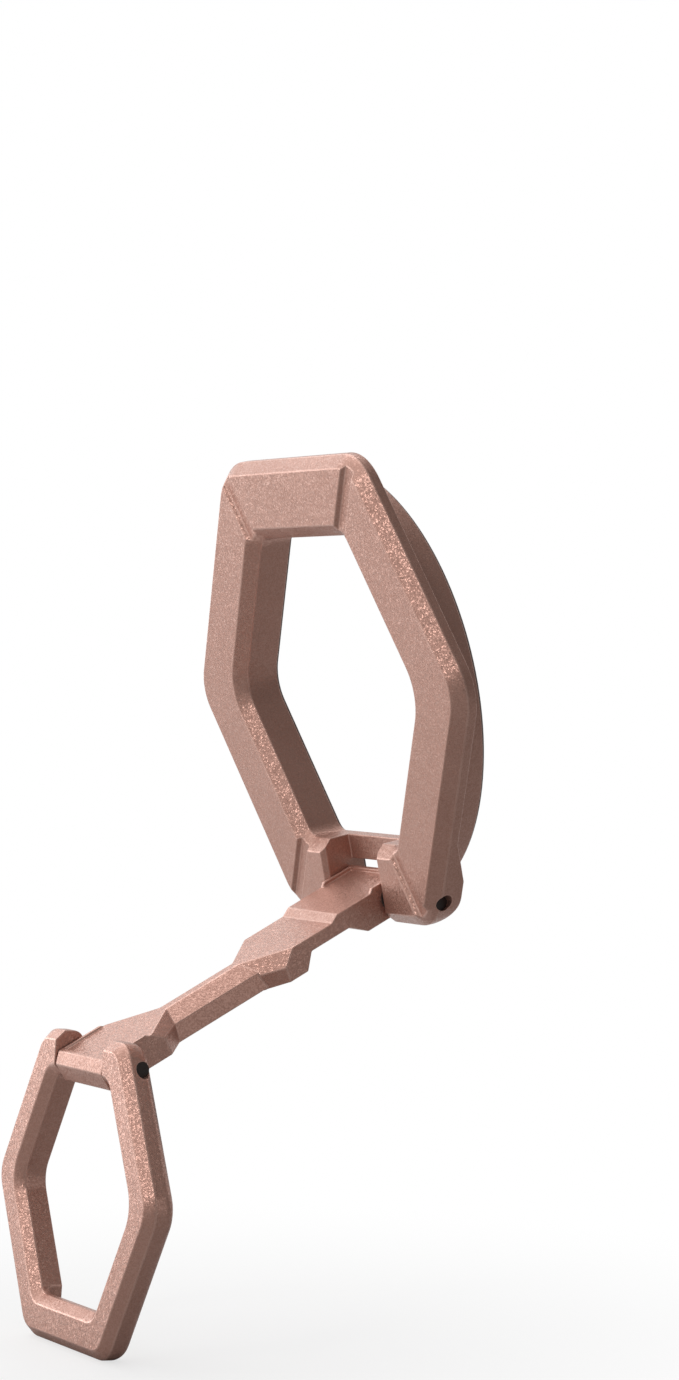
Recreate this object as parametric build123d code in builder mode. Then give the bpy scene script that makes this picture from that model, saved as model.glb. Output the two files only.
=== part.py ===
from build123d import *
from math import atan, cos, degrees, radians, sin
import os

os.makedirs("parts", exist_ok=True)

# Folding magnetic ring stand: a magnet-backed hexagon ring, an arm hinged in the ring's
# bottom bar, and a smaller hexagon loop hinged on the arm's end. Millimetres.
# Frame: origin at the centre of the magnet face, +X along the hinge pins, +Z up. The magnet
# face leans back as in use, and the loop's lower edge is the foot.

# Rest pose, in degrees
face_lean = 11.0
arm_drop = 15.5
loop_tilt = 4.3

# Magnets and their yoke, in a groove round the disc
magnet_count = 16
magnet_angle = 20.0
magnet_gap = 0.3
groove_inner_radius = 22.9
magnet_groove_width = 4.15
magnet_groove_depth = 2.2
magnet_thickness = 1.9
magnet_radial_gap = 0.08

# Base ring, grown outwards and inwards from the magnet groove
disc_rim = 0.65
plate_reach = 1.1
opening_rim = 3.9
plate_thickness = 2.7
disc_depth = 3.05
pad_thickness = 0.4
pad_margin = 0.35
base_chamfer = 1.5
base_rounding = 6.5
opening_side_rounding = 5.0
opening_corner_rounding = 2.5

# Grooves across the front face at the four corners with a bar above or below
groove_width = 2.55
groove_depth = 0.55
groove_wall_run = 0.42
groove_angles = (60, 120, 240, 300)

# Hinge in the base ring's bottom bar
slot_half_width = 6.5
slot_edge_chamfer = 0.6
slot_edge_angle = 45
cross_bar_height = 3.1
cross_bar_thickness = 1.6
base_pin_inset = 3.0
base_pin_height = 4.1
boss_reach = 2.3
boss_ramp_rise = 7.2
boss_flat_rise = 2.2

# Pins, washers and running gaps
pin_radius = 0.95
pin_clearance = 0.03
base_pin_recess = 1.3
loop_pin_recess = 0.65
arm_side_gap = 0.25
washer_thickness = 0.2
washer_bore_clearance = 0.06
base_washer_radius = 1.85
loop_washer_radius = 1.5

# Arm: u runs from the base pin to the loop pin, v is up from the pins' plane. Places near the
# tip are set back from the loop pin, and the tip reaches past it.
arm_length = 41.4
arm_top = 1.3
arm_bottom = -2.2
root_back = -2.4
root_rim_top = 2.45
root_rim_end = 2.3
root_rim_width = 0.6
root_floor = 1.95
root_floor_end = 8.0
root_slope_run = 1.15
root_bottom = -2.05
root_rounding = 2.05
root_bottom_end = 5.0
recess_top = -0.4
recess_start = 7.1
recess_end = 13.0
recess_slope_run = 1.5
block_bottom = -2.35
neck_half_width = 3.4
neck_bottom_half_width = 4.0
neck_ridge_half_width = 0.78
neck_shoulder = -0.1
narrowing_top = 15.1
narrowing_ridge = 20.2
narrowing_crease = 17.0
narrowing_crease_level = -0.48
narrowing_neck = 19.6
narrowing_bottom = 17.2
widening_ridge_setback = 10.3
widening_top_setback = 5.05
widening_neck_setback = 9.45
widening_side_setback = 6.5
tip_reach = 2.8
tip_rim_height = 0.3
tip_rim_setback = 4.7
tip_rim_width = 0.55
tip_rim_slope_run = 0.4
tip_bevel_reach = 1.7
tip_bevel_level = 0.35
tip_undercut = 0.2
tip_bottom_chamfer = 0.3

# Loop
loop_apothem = 18.5
loop_bar_width = 5.3
loop_thickness = 3.85
loop_chamfer = 1.15
loop_rounding = 4.5
loop_corner_rounding = 3.6
loop_opening_side_rounding = 3.5
loop_opening_corner_rounding = 1.6
loop_pin_inset = 2.9
loop_pin_behind_middle = 0.7
loop_ear_back_rounding = 1.5
loop_bar_thickness = 2.0
loop_bar_relief_half_width = 8.1

# Past this distance a cutting solid is clear of every piece
clear_of_part = 60.0

# Angle between a hexagon's corner and the middle of a side next to it
half_side_angle = 30
full_turn = 360

groove_outer_radius = groove_inner_radius + magnet_groove_width
disc_radius = groove_outer_radius + disc_rim
base_apothem = disc_radius + plate_reach
opening_apothem = groove_inner_radius - opening_rim
base_pin_drop = base_apothem - base_pin_inset
loop_opening_apothem = loop_apothem - loop_bar_width
loop_pin_above_centre = loop_apothem - loop_pin_inset
widening_ridge = arm_length - widening_ridge_setback
widening_top = arm_length - widening_top_setback
widening_neck = arm_length - widening_neck_setback
widening_side = arm_length - widening_side_setback
tip_rim_start = arm_length - tip_rim_setback
tip_bevel_start = arm_length + tip_bevel_reach
tip_end = arm_length + tip_reach

arm_half_width = slot_half_width - arm_side_gap
arm_angle = radians(face_lean + arm_drop)
tilt = radians(loop_tilt)
lean = radians(face_lean)
metal_back = pad_thickness
plate_back = metal_back + disc_depth
plate_front = plate_back + plate_thickness

across = Vector(1, 0, 0)
face_plane = Plane(origin=(0, 0, 0), x_dir=across, z_dir=(0, -cos(lean), -sin(lean)))
# Section through the base hinge: local x is up the face, local y is out of it
hinge_section = Plane(origin=(0, 0, 0), x_dir=face_plane.y_dir, z_dir=across)

base_pin = face_plane.from_local_coords((0, -base_pin_drop, base_pin_height))
arm_along = Vector(0, -cos(arm_angle), -sin(arm_angle))
arm_up = Vector(0, -sin(arm_angle), cos(arm_angle))
loop_pin = base_pin + arm_along * arm_length
loop_up = Vector(0, sin(tilt), cos(tilt))
loop_front = Vector(0, -cos(tilt), sin(tilt))
loop_centre = loop_pin - loop_up * loop_pin_above_centre + loop_front * loop_pin_behind_middle

# The arm from the side (local x is u, local y is v), from above (local x is u, local y is X)
arm_side = Plane(origin=base_pin, x_dir=arm_along, z_dir=-across)
arm_plan = Plane(origin=base_pin, x_dir=arm_along, z_dir=arm_up)
loop_plane = Plane(origin=loop_centre, x_dir=across, z_dir=loop_front)


def hexagon(apothem, side_rounding, corner_rounding):
    """A hexagon with flat top and bottom, its left and right vertices rounded by themselves."""
    with BuildSketch(mode=Mode.PRIVATE) as outline:
        RegularPolygon(radius=apothem, side_count=6, major_radius=False)
        sides = outline.vertices().sort_by(Axis.X)
        fillet([sides[0], sides[-1]], side_rounding)
        corners = outline.vertices().group_by(Axis.Y)
        fillet(corners[0] + corners[-1], corner_rounding)
    return outline.sketch


def ring_sector(inner_radius, outer_radius, start, size):
    """A stretch of a flat ring, from start degrees on through size degrees."""
    with BuildLine() as outline:
        inner = CenterArc((0, 0), inner_radius, start, size)
        outer = CenterArc((0, 0), outer_radius, start, size)
        Line(inner @ 0, outer @ 0)
        Line(inner @ 1, outer @ 1)
    make_face(outline.edges())


def arm_point(u, x, v):
    """A point of the arm, from its place along, across and above the base pin."""
    return arm_plan.from_local_coords((u, x, v))


def facet(first, second, third):
    """The plane through three points of the arm, facing away from the arm's middle."""
    normal = (second - first).cross(third - first)
    if normal.dot(across) * (first - base_pin).dot(across) < 0:
        normal = -normal
    return Plane(origin=first, z_dir=normal)


# Base ring: a hexagon plate on a round disc, one metal part with a hexagon opening
base_outline = hexagon(base_apothem, base_rounding, base_rounding)
opening_outline = hexagon(opening_apothem, opening_side_rounding, opening_corner_rounding)

# Bulge behind the bottom bar that carries the pin, shaped to the plate's own outline
with BuildPart() as boss:
    with BuildSketch(hinge_section):
        with BuildLine():
            boss_back = base_pin_height - boss_reach
            boss_ramp_top = boss_ramp_rise - base_pin_drop
            Polyline(
                (-base_pin_drop, boss_back),
                (boss_flat_rise - base_pin_drop, boss_back),
                (boss_ramp_top, plate_back),
                (boss_ramp_top, plate_front - base_chamfer),
                (-base_apothem, plate_front - base_chamfer),
                (-base_apothem, base_pin_height),
            )
            TangentArc((-base_pin_drop, boss_back), (-base_apothem, base_pin_height), tangent=(-1, 0))
        make_face()
    extrude(amount=base_apothem, both=True)
    with BuildSketch(face_plane):
        add(base_outline)
    extrude(amount=plate_front, mode=Mode.INTERSECT)

with BuildPart() as base_frame:
    with BuildSketch(face_plane.offset(metal_back)):
        Circle(disc_radius)
    extrude(amount=disc_depth)
    with BuildSketch(face_plane.offset(plate_back)):
        add(base_outline)
    extrude(amount=plate_thickness)
    outward = Axis(origin=(0, 0, 0), direction=face_plane.z_dir)
    chamfer(base_frame.faces().sort_by(outward)[-1].edges(), base_chamfer)
    add(boss.part)
    with BuildSketch(face_plane):
        add(opening_outline)
    extrude(amount=plate_front, mode=Mode.SUBTRACT)
    front = base_frame.faces().sort_by(outward)[-1]
    chamfer(front.inner_wires()[0].edges(), base_chamfer)

    # Slot for the arm, open at the back below the cross bar
    slot_top = -opening_apothem + base_chamfer
    cross_bar_bottom = -opening_apothem - cross_bar_height
    cross_bar_front = metal_back + cross_bar_thickness
    with BuildSketch(face_plane.offset(cross_bar_front)):
        with Locations((0, slot_top)):
            Rectangle(2 * slot_half_width, clear_of_part, align=(Align.CENTER, Align.MAX))
    extrude(amount=clear_of_part, mode=Mode.SUBTRACT)
    with BuildSketch(face_plane):
        with Locations((0, cross_bar_bottom)):
            Rectangle(2 * slot_half_width, clear_of_part, align=(Align.CENTER, Align.MAX))
    extrude(amount=plate_front, mode=Mode.SUBTRACT)
    with BuildSketch(face_plane.offset(plate_front)):
        with Locations((0, slot_top)):
            Rectangle(
                2 * (slot_half_width + slot_edge_chamfer),
                clear_of_part,
                align=(Align.CENTER, Align.MAX),
            )
    extrude(amount=-slot_edge_chamfer, taper=slot_edge_angle, mode=Mode.SUBTRACT)

    # Grooves across the corners
    groove_middle = (base_apothem + opening_apothem) / 2
    with BuildSketch(face_plane.offset(plate_front)):
        for angle in groove_angles:
            with PolarLocations(groove_middle, 1, start_angle=angle):
                Rectangle(opening_apothem, groove_width)
    extrude(
        amount=-groove_depth,
        taper=degrees(atan(groove_wall_run / groove_depth)),
        mode=Mode.SUBTRACT,
    )

    # Pin hole through both ears
    with BuildSketch(hinge_section):
        with Locations((-base_pin_drop, base_pin_height)):
            Circle(pin_radius)
    extrude(amount=base_apothem, both=True, mode=Mode.SUBTRACT)

    # Groove for the magnets, closed where the hinge needs the metal
    magnet_span = magnet_count * magnet_angle
    magnet_start = (full_turn - magnet_span) / 2 - full_turn / 4
    with BuildSketch(face_plane.offset(metal_back)):
        ring_sector(groove_inner_radius, groove_outer_radius, magnet_start, magnet_span)
    extrude(amount=magnet_groove_depth, mode=Mode.SUBTRACT)

# Soft pad on the magnet face
with BuildPart() as face_pad:
    with BuildSketch(face_plane):
        Circle(disc_radius - pad_margin)
        add(hexagon(opening_apothem + pad_margin, opening_side_rounding, opening_corner_rounding),
            mode=Mode.SUBTRACT)
        with Locations((0, cross_bar_bottom + pad_margin)):
            Rectangle(
                2 * (slot_half_width + pad_margin),
                clear_of_part,
                align=(Align.CENTER, Align.MAX),
                mode=Mode.SUBTRACT,
            )
    extrude(amount=pad_thickness)

# Steel yoke on the groove's floor, and the magnets under it
seat_inner = groove_inner_radius + magnet_radial_gap
seat_outer = groove_outer_radius - magnet_radial_gap
end_gap = degrees(magnet_gap / 2 / seat_inner)
with BuildPart() as yoke_plate:
    with BuildSketch(face_plane.offset(metal_back + magnet_thickness)):
        ring_sector(seat_inner, seat_outer, magnet_start + end_gap, magnet_span - 2 * end_gap)
    extrude(amount=magnet_groove_depth - magnet_thickness)

magnets = []
for number in range(magnet_count):
    with BuildPart() as magnet:
        with BuildSketch(face_plane.offset(metal_back)):
            start = magnet_start + number * magnet_angle + end_gap
            ring_sector(seat_inner, seat_outer, start, magnet_angle - 2 * end_gap)
        extrude(amount=magnet_thickness)
    magnets.append(magnet.part)

# Arm's root: the wide block in the base ring's slot, up to where it narrows
with BuildPart() as arm_root:
    with BuildSketch(arm_side):
        with BuildLine():
            Polyline(
                (root_back, 0),
                (root_back, root_rim_top),
                (root_rim_end, root_rim_top),
                (root_rim_end + root_rim_top - root_floor, root_floor),
                (root_floor_end, root_floor),
                (root_floor_end + root_slope_run, arm_top),
                (narrowing_ridge + neck_half_width, arm_top),
                (narrowing_ridge + neck_half_width, block_bottom),
                (recess_end + recess_slope_run, block_bottom),
                (recess_end, recess_top),
                (recess_start, recess_top),
                (root_bottom_end, root_bottom),
                (root_back + root_rounding, root_bottom),
            )
            TangentArc(
                (root_back, 0), (root_back + root_rounding, root_bottom), tangent=(0, -1)
            )
        make_face()
    extrude(amount=arm_half_width, both=True)
    pocket_end = root_rim_end + root_rim_top - root_floor
    with BuildSketch(arm_plan.offset(root_floor)):
        with Locations((root_back + root_rim_width, 0)):
            Rectangle(
                pocket_end - root_back,
                2 * (arm_half_width - root_rim_width),
                align=(Align.MIN, Align.CENTER),
            )
    extrude(amount=root_rim_top, mode=Mode.SUBTRACT)
    for side in (-1, 1):
        wide = side * arm_half_width
        ridge = side * neck_ridge_half_width
        upper = facet(
            arm_point(narrowing_top, wide, arm_top),
            arm_point(narrowing_ridge, ridge, arm_top),
            arm_point(narrowing_crease, wide, narrowing_crease_level),
        )
        lower = facet(
            arm_point(narrowing_crease, wide, narrowing_crease_level),
            arm_point(narrowing_neck, side * neck_half_width, narrowing_crease_level),
            arm_point(narrowing_bottom, wide, block_bottom),
        )
        split(bisect_by=upper, keep=Keep.BOTTOM)
        split(bisect_by=lower, keep=Keep.BOTTOM)

# Arm's tip: the wide block in the loop's slot, from where the neck widens
tip_rim_top = arm_top + tip_rim_height
with BuildPart() as arm_tip:
    with BuildSketch(arm_side):
        with BuildLine():
            Polyline(
                (widening_ridge - neck_half_width, arm_top),
                (tip_rim_start, arm_top),
                (tip_rim_start + tip_rim_slope_run, tip_rim_top),
                (tip_bevel_start, tip_rim_top),
                (tip_end, tip_bevel_level),
                (tip_end - tip_undercut, arm_bottom + tip_bottom_chamfer),
                (tip_end - tip_undercut - tip_bottom_chamfer, arm_bottom),
                (widening_ridge - neck_half_width, arm_bottom),
                close=True,
            )
        make_face()
    extrude(amount=arm_half_width, both=True)
    with BuildSketch(arm_plan.offset(arm_top)):
        with Locations((tip_rim_start, 0)):
            Rectangle(
                tip_bevel_start - tip_rim_start - tip_rim_width,
                2 * (arm_half_width - tip_rim_width),
                align=(Align.MIN, Align.CENTER),
            )
    extrude(amount=tip_rim_height, mode=Mode.SUBTRACT)
    for side in (-1, 1):
        wide = side * arm_half_width
        neck = side * neck_half_width
        upper = facet(
            arm_point(widening_top, wide, arm_top),
            arm_point(widening_ridge, side * neck_ridge_half_width, arm_top),
            arm_point(widening_neck, neck, neck_shoulder),
        )
        lower = facet(
            arm_point(widening_neck, neck, neck_shoulder),
            arm_point(widening_side, wide, neck_shoulder),
            arm_point(widening_side, wide, arm_bottom),
        )
        split(bisect_by=upper, keep=Keep.BOTTOM)
        split(bisect_by=lower, keep=Keep.BOTTOM)

with BuildPart() as arm:
    # Neck: a bar with a narrow ridge and wide bevels, from inside the root to inside the tip
    with BuildSketch(Plane(origin=arm_point(narrowing_top, 0, 0), x_dir=across, z_dir=arm_along)):
        Polygon(
            (-neck_bottom_half_width, arm_bottom),
            (neck_bottom_half_width, arm_bottom),
            (neck_half_width, neck_shoulder),
            (neck_ridge_half_width, arm_top),
            (-neck_ridge_half_width, arm_top),
            (-neck_half_width, neck_shoulder),
            align=None,
        )
    extrude(amount=widening_top - narrowing_top)
    add(arm_root.part)
    add(arm_tip.part)
    bore_radius = pin_radius + pin_clearance
    with BuildSketch(arm_side):
        with Locations((0, 0), (arm_length, 0)):
            Circle(bore_radius)
    extrude(amount=arm_half_width, both=True, mode=Mode.SUBTRACT)

# Loop: a hexagon ring with a slot for the arm through its top bar
loop_back = loop_plane.offset(-loop_thickness / 2)
with BuildPart() as loop:
    with BuildSketch(loop_back):
        add(hexagon(loop_apothem, loop_rounding, loop_corner_rounding))
    extrude(amount=loop_thickness)
    loop_outward = Axis(origin=loop_centre, direction=loop_front)
    chamfer(loop.faces().sort_by(loop_outward)[-1].edges(), loop_chamfer)
    top_face = loop.faces().sort_by(Axis(origin=loop_centre, direction=loop_up))[-1]
    fillet(top_face.edges().sort_by(loop_outward)[0], loop_ear_back_rounding)
    with BuildSketch(loop_back):
        add(hexagon(loop_opening_apothem, loop_opening_side_rounding, loop_opening_corner_rounding))
    extrude(amount=loop_thickness, mode=Mode.SUBTRACT)
    loop_face = loop.faces().sort_by(loop_outward)[-1]
    chamfer(loop_face.inner_wires()[0].edges(), loop_chamfer)
    with BuildSketch(loop_back):
        Rectangle(2 * slot_half_width, loop_apothem, align=(Align.CENTER, Align.MIN))
    extrude(amount=loop_thickness, mode=Mode.SUBTRACT)
    with BuildSketch(loop_back):
        with Locations((0, -loop_opening_apothem + loop_chamfer)):
            Rectangle(
                2 * loop_bar_relief_half_width, loop_apothem, align=(Align.CENTER, Align.MAX)
            )
    extrude(amount=loop_thickness - loop_bar_thickness, mode=Mode.SUBTRACT)
    with BuildSketch(Plane(origin=loop_pin, x_dir=loop_up, z_dir=across)):
        Circle(pin_radius)
    extrude(amount=loop_apothem, both=True, mode=Mode.SUBTRACT)


def half_width_at(apothem, height):
    """Half the width of a flat-topped hexagon, at this distance above or below its centre."""
    turn = radians(half_side_angle)
    return (apothem - height * sin(turn)) / cos(turn)


def pin_through(centre, apothem, height, recess):
    """A straight pin across a hexagon ring, its ends sunk below the ring's side walls."""
    with BuildPart() as pin:
        with BuildSketch(Plane(origin=centre, x_dir=loop_up, z_dir=across)):
            Circle(pin_radius)
        extrude(amount=half_width_at(apothem, height) - recess, both=True)
    return pin.part


def washer_beside(centre, side, outer_radius):
    """A thin washer in the gap between an ear and the arm."""
    middle = centre + across * side * (slot_half_width - arm_side_gap / 2)
    with BuildPart() as washer:
        with BuildSketch(Plane(origin=middle, x_dir=loop_up, z_dir=across)):
            Circle(outer_radius)
            Circle(pin_radius + washer_bore_clearance, mode=Mode.SUBTRACT)
        extrude(amount=washer_thickness / 2, both=True)
    return washer.part


pieces = {
    "base_frame": base_frame.part,
    "face_pad": face_pad.part,
    "yoke_plate": yoke_plate.part,
    "arm": arm.part,
    "loop": loop.part,
    "base_hinge_pin": pin_through(base_pin, base_apothem, base_pin_drop, base_pin_recess),
    "loop_hinge_pin": pin_through(loop_pin, loop_apothem, loop_pin_above_centre, loop_pin_recess),
}
for number, piece in enumerate(magnets, start=1):
    pieces[f"magnet_{number:02d}"] = piece
for name, side in (("left", -1), ("right", 1)):
    pieces[f"base_washer_{name}"] = washer_beside(base_pin, side, base_washer_radius)
    pieces[f"loop_washer_{name}"] = washer_beside(loop_pin, side, loop_washer_radius)

for name, piece in pieces.items():
    piece.label = name
    export_step(piece, f"parts/{name}.step")
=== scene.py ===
"""Dresses the folding magnetic ring stand: rounded metal edges, finishes, lamps and camera."""

import math

import bmesh
import bpy
from bpy.props import FloatProperty, FloatVectorProperty, PointerProperty
from bpy.types import Operator, Panel, PropertyGroup
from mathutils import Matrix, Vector


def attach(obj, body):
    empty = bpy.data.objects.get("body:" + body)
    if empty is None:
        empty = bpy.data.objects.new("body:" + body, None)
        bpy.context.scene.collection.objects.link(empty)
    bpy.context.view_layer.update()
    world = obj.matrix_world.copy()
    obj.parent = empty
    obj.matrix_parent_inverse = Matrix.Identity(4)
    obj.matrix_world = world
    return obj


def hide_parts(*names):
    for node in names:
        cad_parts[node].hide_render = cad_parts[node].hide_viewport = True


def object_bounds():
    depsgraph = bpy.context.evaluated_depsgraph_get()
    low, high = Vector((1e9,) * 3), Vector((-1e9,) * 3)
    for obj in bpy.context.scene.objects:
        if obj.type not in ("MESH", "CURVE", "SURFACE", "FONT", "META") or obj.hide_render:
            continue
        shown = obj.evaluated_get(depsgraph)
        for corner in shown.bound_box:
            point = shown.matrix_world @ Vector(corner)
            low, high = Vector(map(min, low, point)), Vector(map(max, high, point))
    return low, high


bl_info = {
    "name": "Magnetic Ring Stand",
    "version": (1, 0, 0),
    "blender": (4, 5, 0),
    "location": "View3D > Sidebar > Ring Stand",
    "description": "Finishes for a folding magnetic ring stand, with its stage",
    "category": "Object",
}

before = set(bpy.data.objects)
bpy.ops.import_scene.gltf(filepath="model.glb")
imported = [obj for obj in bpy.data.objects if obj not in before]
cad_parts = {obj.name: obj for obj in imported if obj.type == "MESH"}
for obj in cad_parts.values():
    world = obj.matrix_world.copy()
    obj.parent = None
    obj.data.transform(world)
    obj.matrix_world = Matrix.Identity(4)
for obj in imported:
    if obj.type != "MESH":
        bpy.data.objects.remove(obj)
cad_box = [list(corner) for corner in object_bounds()]

# Millimetres to metres
MM = 0.001

# The floor is level with the lowest point of the loop
FLOOR_LEVEL = cad_box[0][2]

# Middle of the loop's lower edge, as a place on the floor
FOOT = (0.0, -0.0395, 0.0)


class StandMetalSettings(PropertyGroup):
    """Finish of the blasted, anodised metal."""

    colour: FloatVectorProperty(
        name="Colour",
        description="Anodised colour of the flat faces",
        subtype="COLOR",
        size=3,
        min=0.0,
        max=1.0,
        default=(0.60, 0.335, 0.265),
    )
    mottle_colour: FloatVectorProperty(
        name="Mottle colour",
        description="Slightly different tone that drifts through the colour",
        subtype="COLOR",
        size=3,
        min=0.0,
        max=1.0,
        default=(0.54, 0.29, 0.225),
    )
    # The paler tone of the rounded edges is a painted highlight along them
    edge_highlight_colour: FloatVectorProperty(
        name="Edge colour",
        description="Paler tone of the rounded edges, where the dye is thinner",
        subtype="COLOR",
        size=3,
        min=0.0,
        max=1.0,
        default=(0.74, 0.46, 0.38),
    )
    edge_width: FloatProperty(
        name="Edge width",
        description="Width of the rounding on every sharp edge",
        subtype="DISTANCE",
        unit="LENGTH",
        min=0.0,
        max=0.001,
        precision=5,
        default=0.00014,
    )
    grain_size: FloatProperty(
        name="Grain size",
        description="Size of one blasted dimple",
        subtype="DISTANCE",
        unit="LENGTH",
        min=0.00002,
        max=0.002,
        precision=5,
        default=0.00015,
    )
    grain_tilt: FloatProperty(
        name="Grain tilt",
        description="How far a dimple's facets tilt from the surface",
        subtype="FACTOR",
        min=0.0,
        max=1.0,
        default=0.14,
    )
    flake_share: FloatProperty(
        name="Flake share",
        description="Share of the dimples that hold a bright, smoother facet",
        subtype="FACTOR",
        min=0.0,
        max=1.0,
        default=0.5,
    )
    roughness: FloatProperty(
        name="Roughness",
        description="Blur of the reflections",
        subtype="FACTOR",
        min=0.0,
        max=1.0,
        default=0.48,
    )


class StandBackSettings(PropertyGroup):
    """Finish of the pad, the magnets and the hinge hardware."""

    pad_colour: FloatVectorProperty(
        name="Pad colour",
        description="Colour of the soft pad",
        subtype="COLOR",
        size=3,
        min=0.0,
        max=1.0,
        default=(0.33, 0.25, 0.225),
    )
    pad_edge_width: FloatProperty(
        name="Pad edge width",
        description="Width of the rounding on the pad's rim",
        subtype="DISTANCE",
        unit="LENGTH",
        min=0.0,
        max=0.001,
        precision=5,
        default=0.0001,
    )
    pin_colour: FloatVectorProperty(
        name="Pin colour",
        description="Colour of the hinge pins",
        subtype="COLOR",
        size=3,
        min=0.0,
        max=1.0,
        default=(0.10, 0.085, 0.08),
    )
    plating_colour: FloatVectorProperty(
        name="Plating colour",
        description="Colour of the magnets' plating",
        subtype="COLOR",
        size=3,
        min=0.0,
        max=1.0,
        default=(0.66, 0.66, 0.68),
    )
    yoke_colour: FloatVectorProperty(
        name="Yoke colour",
        description="Colour of the bare steel yoke",
        subtype="COLOR",
        size=3,
        min=0.0,
        max=1.0,
        default=(0.5, 0.5, 0.5),
    )
    washer_colour: FloatVectorProperty(
        name="Washer colour",
        description="Colour of the thin washers beside the arm",
        subtype="COLOR",
        size=3,
        min=0.0,
        max=1.0,
        default=(0.03, 0.027, 0.026),
    )


class StandStageSettings(PropertyGroup):
    """Floor, lamps and camera."""

    floor_colour: FloatVectorProperty(
        name="Floor colour",
        description="Colour of the plain floor",
        subtype="COLOR",
        size=3,
        min=0.0,
        max=1.0,
        default=(0.9, 0.9, 0.9),
    )
    floor_radius: FloatProperty(
        name="Floor radius",
        description="Reach of the floor from the stand",
        subtype="DISTANCE",
        unit="LENGTH",
        min=0.2,
        max=20.0,
        default=4.0,
    )
    lamp_level: FloatProperty(
        name="Lamp level",
        description="Scales the power of all the lamps",
        min=0.0,
        max=20.0,
        default=1.0,
    )
    room_light: FloatProperty(
        name="Room light",
        description="Brightness of the room on the lit side",
        min=0.0,
        max=2.0,
        default=0.85,
    )
    lens: FloatProperty(
        name="Lens",
        description="Focal length of the camera, in millimetres",
        min=10.0,
        max=300.0,
        default=97.58,
    )


class Wiring:
    """Adds nodes to a material's or a world's tree and joins their sockets."""

    def __init__(self, tree):
        self.tree = tree
        tree.nodes.clear()

    def add(self, kind, inputs=None, **settings):
        """A node with its settings, and with values or other nodes' outputs on its inputs."""
        node = self.tree.nodes.new(kind)
        for name, value in settings.items():
            setattr(node, name, value)
        for socket, value in (inputs or {}).items():
            if isinstance(value, bpy.types.NodeSocket):
                self.tree.links.new(value, node.inputs[socket])
            else:
                node.inputs[socket].default_value = value
        return node

    def math(self, operation, *values, clamp=False):
        """The result of a sum, a product or the like."""
        inputs = dict(enumerate(values))
        return self.add("ShaderNodeMath", inputs, operation=operation, use_clamp=clamp).outputs[0]

    def vector(self, operation, *values):
        """The vector that comes out of a vector sum, product or the like."""
        inputs = dict(enumerate(values))
        return self.add("ShaderNodeVectorMath", inputs, operation=operation).outputs["Vector"]

    def mix(self, factor, first, second):
        """A colour between two colours."""
        inputs = {0: factor, 6: first, 7: second}
        return self.add("ShaderNodeMix", inputs, data_type="RGBA").outputs[2]

    def span(self, value, start, end, low, high, smooth=False):
        """A value that goes from low to high while another goes from start to end."""
        inputs = {"Value": value, "From Min": start, "From Max": end, "To Min": low, "To Max": high}
        kind = "SMOOTHSTEP" if smooth else "LINEAR"
        node = self.add("ShaderNodeMapRange", inputs, interpolation_type=kind)
        return node.outputs["Result"]

    def noise(self, place, scale, detail, roughness):
        """A cloudy value between 0 and 1."""
        inputs = {"Vector": place, "Scale": scale, "Detail": detail, "Roughness": roughness}
        return self.add("ShaderNodeTexNoise", inputs).outputs["Fac"]

    def bump(self, height, depth, strength, **more):
        """A normal tilted by a height; the depth is in metres."""
        inputs = {"Height": height, "Distance": depth, "Strength": strength, **more}
        return self.add("ShaderNodeBump", inputs).outputs["Normal"]

    def surface(self, inputs):
        """A Principled shader on the material's output."""
        shader = self.add("ShaderNodeBsdfPrincipled", inputs)
        self.add("ShaderNodeOutputMaterial", {"Surface": shader.outputs["BSDF"]})


def rgba(colour, share=1.0):
    """A colour setting as sockets want it, with full alpha, and darker where share is below 1."""
    return (*(share * part for part in colour), 1.0)


def new_material(name):
    """An empty material and its wiring."""
    material = bpy.data.materials.new(name)
    material.use_nodes = True
    return material, Wiring(material.node_tree)


# Blasted metal: its tone drifts slowly and from speck to speck
DRIFT_SCALE = 0.12 / MM
SPECKS_PER_GRAIN = 0.9
DRIFT_SHARE = 0.55
TONE_START = 0.36
TONE_END = 0.64
PIT_DEPTH = 0.02 * MM

# Its bright flakes are paler, tilt further and are smoother than the other dimples
FLAKE_PALENESS = 0.2
FLAKE_TILT = 1.7
FLAKE_BLUR = 0.6

# Its rounded edges are blasted less deeply than its faces
EDGE_TILT_SHARE = 0.5


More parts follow.
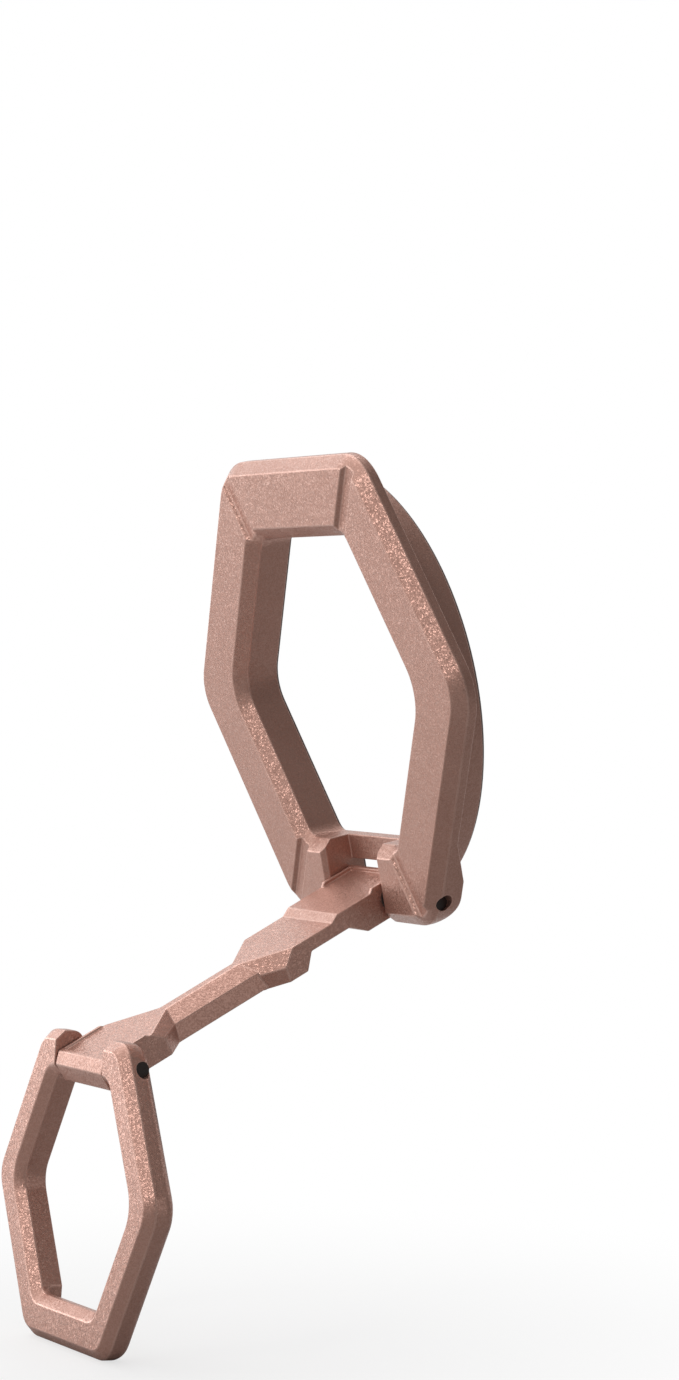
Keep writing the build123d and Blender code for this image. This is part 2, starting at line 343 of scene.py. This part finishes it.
def blasted_metal(name, colour, mottle_colour, tilt, settings):
    """Bead-blasted, anodised metal: mottled, with tiny facets that catch the lamps one by one."""
    material, wires = new_material(name)
    place = wires.add("ShaderNodeTexCoord").outputs["Object"]

    drift = wires.noise(place, scale=DRIFT_SCALE, detail=3.0, roughness=0.6)
    speck_scale = SPECKS_PER_GRAIN / settings.grain_size
    speck = wires.noise(place, scale=speck_scale, detail=1.0, roughness=0.5)
    slow = wires.math("MULTIPLY", drift, DRIFT_SHARE)
    fine = wires.math("MULTIPLY", speck, 1.0 - DRIFT_SHARE)
    shade = wires.span(wires.math("ADD", slow, fine), TONE_START, TONE_END, 0.0, 1.0)
    tone = wires.mix(shade, rgba(mottle_colour), rgba(colour))

    dimples = wires.add(
        "ShaderNodeTexVoronoi",
        {"Vector": place, "Scale": 1.0 / settings.grain_size, "Randomness": 1.0},
    )
    picks = wires.add(
        "ShaderNodeTexWhiteNoise", {"Vector": dimples.outputs["Position"]}, noise_dimensions="3D"
    ).outputs["Value"]
    flake = wires.math("LESS_THAN", picks, settings.flake_share)
    paleness = wires.math("MULTIPLY", flake, FLAKE_PALENESS)
    tone = wires.mix(paleness, tone, rgba(settings.edge_highlight_colour))

    aside = wires.vector("SUBTRACT", dimples.outputs["Color"], (0.5, 0.5, 0.5))
    reach = wires.span(flake, 0.0, 1.0, tilt, FLAKE_TILT * tilt)
    aside = wires.add(
        "ShaderNodeVectorMath", {0: aside, "Scale": reach}, operation="SCALE"
    ).outputs["Vector"]
    flat = wires.add("ShaderNodeNewGeometry").outputs["Normal"]
    facets = wires.vector("NORMALIZE", wires.vector("ADD", flat, aside))
    pits = wires.bump(speck, depth=PIT_DEPTH, strength=0.25, Normal=facets)
    blur = wires.span(flake, 0.0, 1.0, settings.roughness, FLAKE_BLUR * settings.roughness)

    wires.surface(
        {
            "Base Color": tone,
            "Metallic": 0.72,
            "Roughness": blur,
            "Coat Weight": 0.3,
            "Coat Roughness": 0.3,
            "Normal": pits,
            "Coat Normal": pits,
        }
    )
    return material


# Steel and plastic: how dark their darkest specks are, and how far their blur varies
STEEL_SHADE = 0.7
STEEL_BLUR_RANGE = 0.08
PLASTIC_SHADE = 0.82
PLASTIC_BLUR_RANGE = 0.06


def plain_steel(name, colour, roughness, line_scale):
    """Turned or rolled steel with fine lines along one direction."""
    material, wires = new_material(name)
    place = wires.add("ShaderNodeTexCoord").outputs["Object"]
    stretched = wires.vector("MULTIPLY", place, line_scale)
    lines = wires.noise(stretched, scale=1.0 / MM, detail=4.0, roughness=0.7)
    smoothest = roughness - STEEL_BLUR_RANGE
    roughest = roughness + STEEL_BLUR_RANGE
    wires.surface(
        {
            "Base Color": wires.mix(lines, rgba(colour, STEEL_SHADE), rgba(colour)),
            "Metallic": 1.0,
            "Roughness": wires.span(lines, 0.0, 1.0, smoothest, roughest),
            "Normal": wires.bump(lines, depth=0.01 * MM, strength=0.2),
        }
    )
    return material


def soft_plastic(name, colour, roughness, pebble_size, pebble_depth):
    """Moulded soft plastic or silicone with a fine pebbled skin."""
    material, wires = new_material(name)
    place = wires.add("ShaderNodeTexCoord").outputs["Object"]
    pebbles = wires.add(
        "ShaderNodeTexVoronoi", {"Vector": place, "Scale": 1.0 / pebble_size}, feature="SMOOTH_F1"
    ).outputs["Distance"]
    dust = wires.noise(place, scale=0.25 / MM, detail=5.0, roughness=0.6)
    smoothest = roughness - PLASTIC_BLUR_RANGE
    roughest = roughness + PLASTIC_BLUR_RANGE
    wires.surface(
        {
            "Base Color": wires.mix(dust, rgba(colour, PLASTIC_SHADE), rgba(colour)),
            "Roughness": wires.span(dust, 0.0, 1.0, smoothest, roughest),
            "Normal": wires.bump(pebbles, depth=pebble_depth, strength=0.5),
        }
    )
    return material


def finish_node(node_name, material):
    """Gives a CAD node its finish in every material slot."""
    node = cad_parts[node_name]
    if not node.material_slots:
        node.data.materials.append(material)
    for slot in node.material_slots:
        slot.material = material


# Vertices closer than this become one, and faces that meet at less than this angle become one
WELD_DISTANCE = 0.002 * MM
FLAT_ANGLE = math.radians(0.5)

# Edges sharper than this are rounded; the arm's ridges are blunter than the other edges
SHARP_ANGLE = math.radians(18.0)
ARM_SHARP_ANGLE = math.radians(10.0)


def rounded_copy(node_name, piece_name, body, width, finishes, sharp=SHARP_ANGLE):
    """A copy of a CAD node with its sharp edges rounded, riding on the node's body in its place."""
    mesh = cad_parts[node_name].data.copy()
    mesh.name = piece_name
    weld = bmesh.new()
    weld.from_mesh(mesh)
    bmesh.ops.remove_doubles(weld, verts=weld.verts, dist=WELD_DISTANCE)
    bmesh.ops.dissolve_limit(weld, angle_limit=FLAT_ANGLE, verts=weld.verts, edges=weld.edges)
    for polygon in weld.faces:
        polygon.smooth = True
        polygon.material_index = 0
    weld.to_mesh(mesh)
    weld.free()
    mesh.materials.clear()
    for finish in finishes:
        mesh.materials.append(finish)

    piece = bpy.data.objects.new(piece_name, mesh)
    bpy.context.scene.collection.objects.link(piece)
    rounding = piece.modifiers.new("edge_rounding", "BEVEL")
    rounding.width = width
    rounding.segments = 2
    rounding.limit_method = "ANGLE"
    rounding.angle_limit = sharp
    rounding.use_clamp_overlap = False
    rounding.miter_outer = "MITER_ARC"
    rounding.harden_normals = True
    # The rounded edges take the second finish, whose paler colour is a painted highlight
    rounding.material = 1
    shading = piece.modifiers.new("flat_faces_stay_flat", "WEIGHTED_NORMAL")
    shading.keep_sharp = True
    shading.weight = 100

    bpy.context.view_layer.update()
    view = bpy.context.evaluated_depsgraph_get()
    rounded = bpy.data.meshes.new_from_object(
        piece.evaluated_get(view), preserve_all_data_layers=True, depsgraph=view
    )
    piece.modifiers.clear()
    piece.data = rounded
    rounded.name = piece_name
    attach(piece, body)
    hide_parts(node_name)


def metal_piece(scene, node_name, piece_name, body, sharp=SHARP_ANGLE):
    """A rounded copy of a metal node, with one finish on its faces and a paler one on its edges as
    a painted highlight.
    """
    metal = scene.stand_metal
    finishes = []
    for name, colour, mottle_colour, tilt in (
        ("blasted_face", metal.colour, metal.mottle_colour, metal.grain_tilt),
        ("blasted_edge_highlight", metal.edge_highlight_colour, metal.colour, EDGE_TILT_SHARE * metal.grain_tilt),
    ):
        made = bpy.data.materials.get(name)
        finishes.append(made or blasted_metal(name, colour, mottle_colour, tilt, metal))
    rounded_copy(node_name, piece_name, body, metal.edge_width, finishes, sharp)


class STAND_OT_base_ring(Operator):
    """Make the hexagon ring that holds the magnets and the lower hinge"""

    bl_idname = "stand.base_ring"
    bl_label = "Base Ring"

    def execute(self, context):
        metal_piece(context.scene, "base_frame", "base_ring", "base")
        return {"FINISHED"}


class STAND_OT_arm(Operator):
    """Make the arm with its ridged neck"""

    bl_idname = "stand.arm"
    bl_label = "Arm"

    def execute(self, context):
        metal_piece(context.scene, "arm", "hinged_arm", "arm", ARM_SHARP_ANGLE)
        return {"FINISHED"}


class STAND_OT_loop(Operator):
    """Make the small hexagon loop at the foot"""

    bl_idname = "stand.loop"
    bl_label = "Loop"

    def execute(self, context):
        metal_piece(context.scene, "loop", "foot_loop", "loop")
        return {"FINISHED"}


class STAND_OT_hinges(Operator):
    """Finish the hinge pins and the washers beside the arm"""

    bl_idname = "stand.hinges"
    bl_label = "Hinge Pins and Washers"

    def execute(self, context):
        back = context.scene.stand_back
        pin = plain_steel("pin_steel", back.pin_colour, roughness=0.4, line_scale=(0.6, 4.0, 4.0))
        washer = soft_plastic(
            "washer_plastic",
            back.washer_colour,
            roughness=0.5,
            pebble_size=0.1 * MM,
            pebble_depth=0.005 * MM,
        )
        for hinge in ("base", "loop"):
            finish_node(f"{hinge}_hinge_pin", pin)
            for side in ("left", "right"):
                finish_node(f"{hinge}_washer_{side}", washer)
        return {"FINISHED"}


class STAND_OT_magnets(Operator):
    """Finish the magnets and the steel yoke behind them"""

    bl_idname = "stand.magnets"
    bl_label = "Magnets and Yoke"

    def execute(self, context):
        back = context.scene.stand_back
        plating = plain_steel(
            "magnet_plating", back.plating_colour, roughness=0.22, line_scale=(1.0, 1.0, 1.0)
        )
        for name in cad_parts:
            if name.startswith("magnet_"):
                finish_node(name, plating)
        yoke = plain_steel(
            "yoke_steel", back.yoke_colour, roughness=0.35, line_scale=(5.0, 1.0, 1.0)
        )
        finish_node("yoke_plate", yoke)
        return {"FINISHED"}


class STAND_OT_pad(Operator):
    """Make the soft pad over the magnets"""

    bl_idname = "stand.pad"
    bl_label = "Pad"

    def execute(self, context):
        back = context.scene.stand_back
        skin = soft_plastic(
            "pad_silicone",
            back.pad_colour,
            roughness=0.62,
            pebble_size=0.35 * MM,
            pebble_depth=0.03 * MM,
        )
        rounded_copy("face_pad", "soft_pad", "base", back.pad_edge_width, (skin, skin))
        return {"FINISHED"}


# Name, bearing from the front towards the right, height (degrees), width and height (metres),
# and power in watts at a lamp level of 1
LAMPS = (
    ("left_lamp", -62.0, 10.0, 1.4, 0.6, 2.9),
    ("high_lamp", -94.0, 48.0, 0.7, 0.7, 1.8),
    ("top_lamp", -45.0, 65.0, 0.9, 0.9, 1.6),
    ("glint_lamp", 14.0, 34.0, 0.2, 0.3, 0.9),
    ("back_lamp", 200.0, 20.0, 1.2, 0.7, 1.2),
)

# Lamps for the pieces that stand forward, each with the pieces that it lights
FORWARD_LAMPS = (
    (("side_lamp", 106.0, 16.0, 0.9, 0.9, 1.0), ("hinged_arm", "foot_loop")),
    (("loop_lamp", -60.0, 9.0, 0.9, 0.5, 0.9), ("foot_loop",)),
)

# All the lamps look at a place near the middle of the stand, from this far away
AIM = Vector((0.0, -0.015, -0.02))
LAMP_DISTANCE = 1.1

# To the camera the floor turns white between these distances from the foot
SHADOW_START = 0.01
SHADOW_END = 0.12
WHITE_AT_FOOT = 0.7

# In the metal it turns pale within this distance of the foot, on the lit side only
PALE_DISTANCE = 0.035
PALE_SHARE = 0.45
LIT_FLOOR_START = 0.01
LIT_FLOOR_END = -0.07

# Share of its colour that the stand gets from it as light and as reflections
FLOOR_BOUNCE = 0.45

# The way to the room's lit side, and how bright the other side is beside it
LIT_WAY = Vector((-0.78, -0.55, 0.25)).normalized()
DIM_ROOM_END = -0.4
DIM_ROOM_SHARE = 0.2

WHITE = (1.0, 1.0, 1.0, 1.0)

# Where the photograph was taken from, and which way the camera looks
CAMERA_PLACE = Vector((400.3, -228.5, 6.7)) * MM
CAMERA_WAY = Vector((-0.8714, 0.4903, -0.0166))
SENSOR_WIDTH = 36.0


def heading(bearing, height):
    """A direction from its bearing and height in degrees; bearing 0 is the front, 90 the right."""
    turn = math.radians(bearing)
    rise = math.radians(height)
    return Vector(
        (math.sin(turn) * math.cos(rise), -math.cos(turn) * math.cos(rise), math.sin(rise))
    )


def area_lamp(name, bearing, height, width, tall, power, level):
    """A soft rectangular lamp at a bearing and height, turned to the stand."""
    data = bpy.data.lights.new(name, "AREA")
    data.shape = "RECTANGLE"
    data.size = width
    data.size_y = tall
    data.energy = power * level
    lamp = bpy.data.objects.new(name, data)
    lamp.location = AIM + LAMP_DISTANCE * heading(bearing, height)
    lamp.rotation_euler = (AIM - lamp.location).to_track_quat("-Z", "Y").to_euler()
    bpy.context.scene.collection.objects.link(lamp)
    return lamp


class STAND_OT_stage(Operator):
    """Set up the floor, the lamps, the room and the camera"""

    bl_idname = "stand.stage"
    bl_label = "Stage"

    def execute(self, context):
        stage = context.scene.stand_stage

        disc = bmesh.new()
        bmesh.ops.create_circle(disc, cap_ends=True, segments=96, radius=stage.floor_radius)
        mesh = bpy.data.meshes.new("floor")
        disc.to_mesh(mesh)
        disc.free()
        floor = bpy.data.objects.new("floor", mesh)
        floor.location = (0.0, 0.0, FLOOR_LEVEL)
        context.scene.collection.objects.link(floor)
        mesh.materials.append(self.floor_material(stage))

        world = bpy.data.worlds.new("studio")
        context.scene.world = world
        world.use_nodes = True
        self.studio_room(Wiring(world.node_tree), stage)

        for setting in LAMPS:
            area_lamp(*setting, stage.lamp_level)
        for setting, pieces in FORWARD_LAMPS:
            lit = bpy.data.collections.new(f"lit_by_{setting[0]}")
            for name in pieces:
                lit.objects.link(bpy.data.objects[name])
            lamp = area_lamp(*setting, stage.lamp_level)
            lamp.light_linking.receiver_collection = lit

        self.photo_camera(context, stage)
        context.scene.view_settings.view_transform = "Standard"
        return {"FINISHED"}

    def floor_material(self, stage):
        """A pale matt floor that keeps the shadow and looks white away from it."""
        material, wires = new_material("pale_floor")
        place = wires.add("ShaderNodeTexCoord").outputs["Object"]
        sideways = wires.add("ShaderNodeSeparateXYZ", {"Vector": place}).outputs["X"]
        from_foot = wires.vector("SUBTRACT", place, FOOT)
        away = wires.add(
            "ShaderNodeVectorMath", {0: from_foot}, operation="LENGTH"
        ).outputs["Value"]
        seen = wires.add("ShaderNodeLightPath")

        fade = wires.span(away, SHADOW_START, SHADOW_END, WHITE_AT_FOOT, 1.0, smooth=True)
        to_eye = wires.math("MULTIPLY", fade, seen.outputs["Is Camera Ray"])

        pale = wires.span(away, 0.0, PALE_DISTANCE, 0.0, PALE_SHARE, smooth=True)
        lit_side = wires.span(sideways, LIT_FLOOR_START, LIT_FLOOR_END, 0.0, 1.0, smooth=True)
        mirrored = wires.math("MULTIPLY", pale, lit_side)
        to_metal = wires.math("MULTIPLY", mirrored, seen.outputs["Is Glossy Ray"])
        white_share = wires.math("ADD", to_eye, to_metal, clamp=True)

        colour = rgba(stage.floor_colour)
        bounce = rgba(stage.floor_colour, FLOOR_BOUNCE)
        tone = wires.mix(seen.outputs["Is Camera Ray"], bounce, colour)
        matt = wires.add("ShaderNodeBsdfPrincipled", {"Base Color": tone, "Roughness": 0.6})
        white = wires.add("ShaderNodeEmission", {"Color": WHITE, "Strength": 1.0})
        both = wires.add(
            "ShaderNodeMixShader",
            {0: white_share, 1: matt.outputs["BSDF"], 2: white.outputs["Emission"]},
        )
        wires.add("ShaderNodeOutputMaterial", {"Surface": both.outputs[0]})
        return material

    def studio_room(self, wires, stage):
        """White where it is seen directly, and a lit side and a dim side for the stand's faces."""
        way = wires.add("ShaderNodeTexCoord").outputs["Generated"]
        facing = wires.add(
            "ShaderNodeVectorMath", {0: way, 1: LIT_WAY}, operation="DOT_PRODUCT"
        ).outputs["Value"]
        dim = DIM_ROOM_SHARE * stage.room_light
        glow = wires.span(facing, DIM_ROOM_END, 1.0, dim, stage.room_light, smooth=True)
        seen = wires.add("ShaderNodeLightPath").outputs["Is Camera Ray"]
        strength = wires.add("ShaderNodeMix", {0: seen, 2: glow, 3: 1.0}, data_type="FLOAT")
        background = wires.add(
            "ShaderNodeBackground", {"Color": WHITE, "Strength": strength.outputs[0]}
        )
        wires.add("ShaderNodeOutputWorld", {"Surface": background.outputs["Background"]})

    def photo_camera(self, context, stage):
        """A nearly level camera at the stand's front right."""
        data = bpy.data.cameras.new("camera")
        data.lens = stage.lens
        data.sensor_width = SENSOR_WIDTH
        data.sensor_fit = "AUTO"
        camera = bpy.data.objects.new("camera", data)
        camera.location = CAMERA_PLACE
        camera.rotation_euler = CAMERA_WAY.to_track_quat("-Z", "Y").to_euler()
        context.scene.collection.objects.link(camera)
        context.scene.camera = camera


PIECES = (
    STAND_OT_base_ring,
    STAND_OT_arm,
    STAND_OT_loop,
    STAND_OT_hinges,
    STAND_OT_magnets,
    STAND_OT_pad,
    STAND_OT_stage,
)


class STAND_PT_panel(Panel):
    """Lists the stand's pieces and their settings"""

    bl_idname = "STAND_PT_panel"
    bl_label = "Ring Stand"
    bl_space_type = "VIEW_3D"
    bl_region_type = "UI"
    bl_category = "Ring Stand"

    def draw(self, context):
        layout = self.layout
        scene = context.scene
        for title, settings in (
            ("Metal", scene.stand_metal),
            ("Back and Hinges", scene.stand_back),
            ("Stage", scene.stand_stage),
        ):
            box = layout.box()
            box.label(text=title)
            for name in settings.bl_rna.properties.keys():
                if name not in {"rna_type", "name"}:
                    box.prop(settings, name)
        column = layout.column(align=True)
        for piece in PIECES:
            column.operator(piece.bl_idname)


CLASSES = (StandMetalSettings, StandBackSettings, StandStageSettings, *PIECES, STAND_PT_panel)


def register():
    for item in CLASSES:
        bpy.utils.register_class(item)
    bpy.types.Scene.stand_metal = PointerProperty(type=StandMetalSettings)
    bpy.types.Scene.stand_back = PointerProperty(type=StandBackSettings)
    bpy.types.Scene.stand_stage = PointerProperty(type=StandStageSettings)


def unregister():
    del bpy.types.Scene.stand_stage
    del bpy.types.Scene.stand_back
    del bpy.types.Scene.stand_metal
    for item in reversed(CLASSES):
        bpy.utils.unregister_class(item)


def main():
    register()
    bpy.ops.stand.base_ring()
    bpy.ops.stand.arm()
    bpy.ops.stand.loop()
    bpy.ops.stand.hinges()
    bpy.ops.stand.magnets()
    bpy.ops.stand.pad()
    bpy.ops.stand.stage()


if __name__ == "__main__":
    main()
